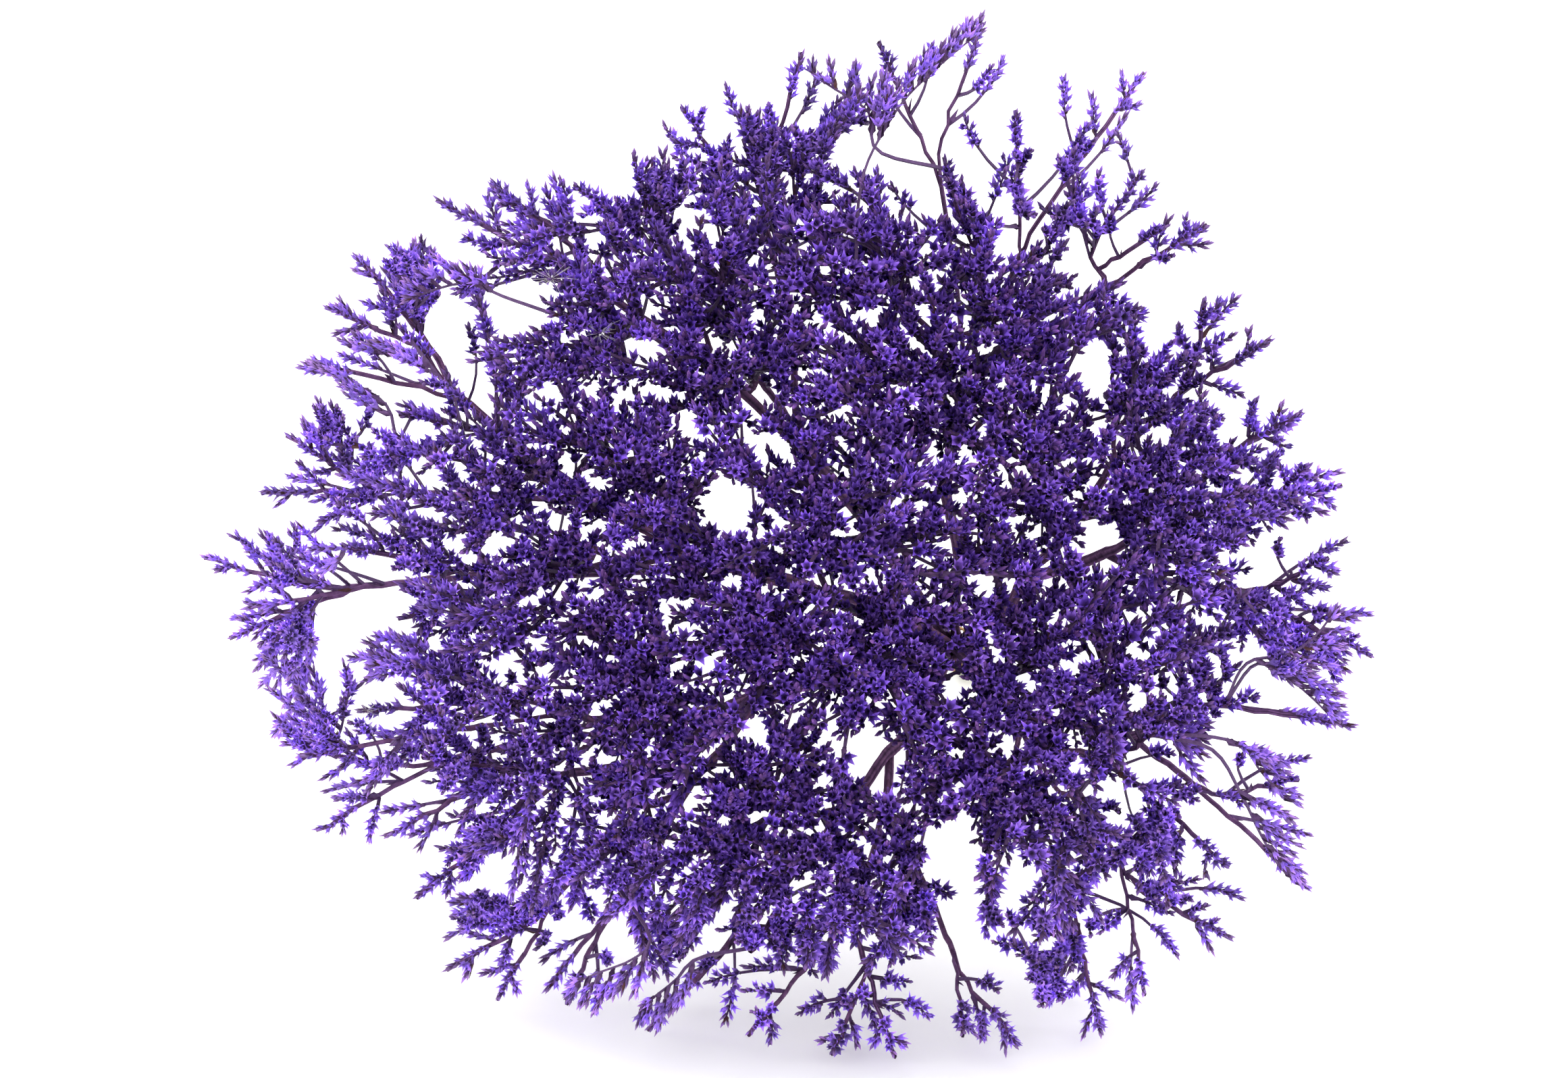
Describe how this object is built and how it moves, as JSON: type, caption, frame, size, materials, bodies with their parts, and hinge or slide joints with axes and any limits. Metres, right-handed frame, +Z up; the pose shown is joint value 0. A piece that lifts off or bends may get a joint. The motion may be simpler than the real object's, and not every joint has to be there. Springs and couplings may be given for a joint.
{
  "type": "dried statice bunch",
  "caption": "Dried, violet-dyed statice: forking flower stems held by a rubber band fan out into one airy dome of starry calyces, lying on its head and cut ends.",
  "frame": {"origin": "on the table under the middle of the bunch's box", "axes": "+Z up from the table; +Y from the flower head towards the cut ends; +X to the right when the head is seen from the front"},
  "size_m": [0.4032, 0.4726, 0.318],
  "materials": {
    "dyed_stem": "dry ribbed stem, dyed dark purple, fading to pale straw towards the cut end",
    "dyed_calyx": "dry papery calyx, dyed blue violet",
    "band_rubber": "natural rubber band"
  },
  "bodies": {
    "root": {"stem_1": "dyed_stem", "stem_2": "dyed_stem", "stem_3": "dyed_stem", "stem_4": "dyed_stem", "stem_5": "dyed_stem", "stem_6": "dyed_stem", "stem_7": "dyed_stem", "stem_8": "dyed_stem", "rubber_band": "band_rubber"}
  },
  "joints": []
}
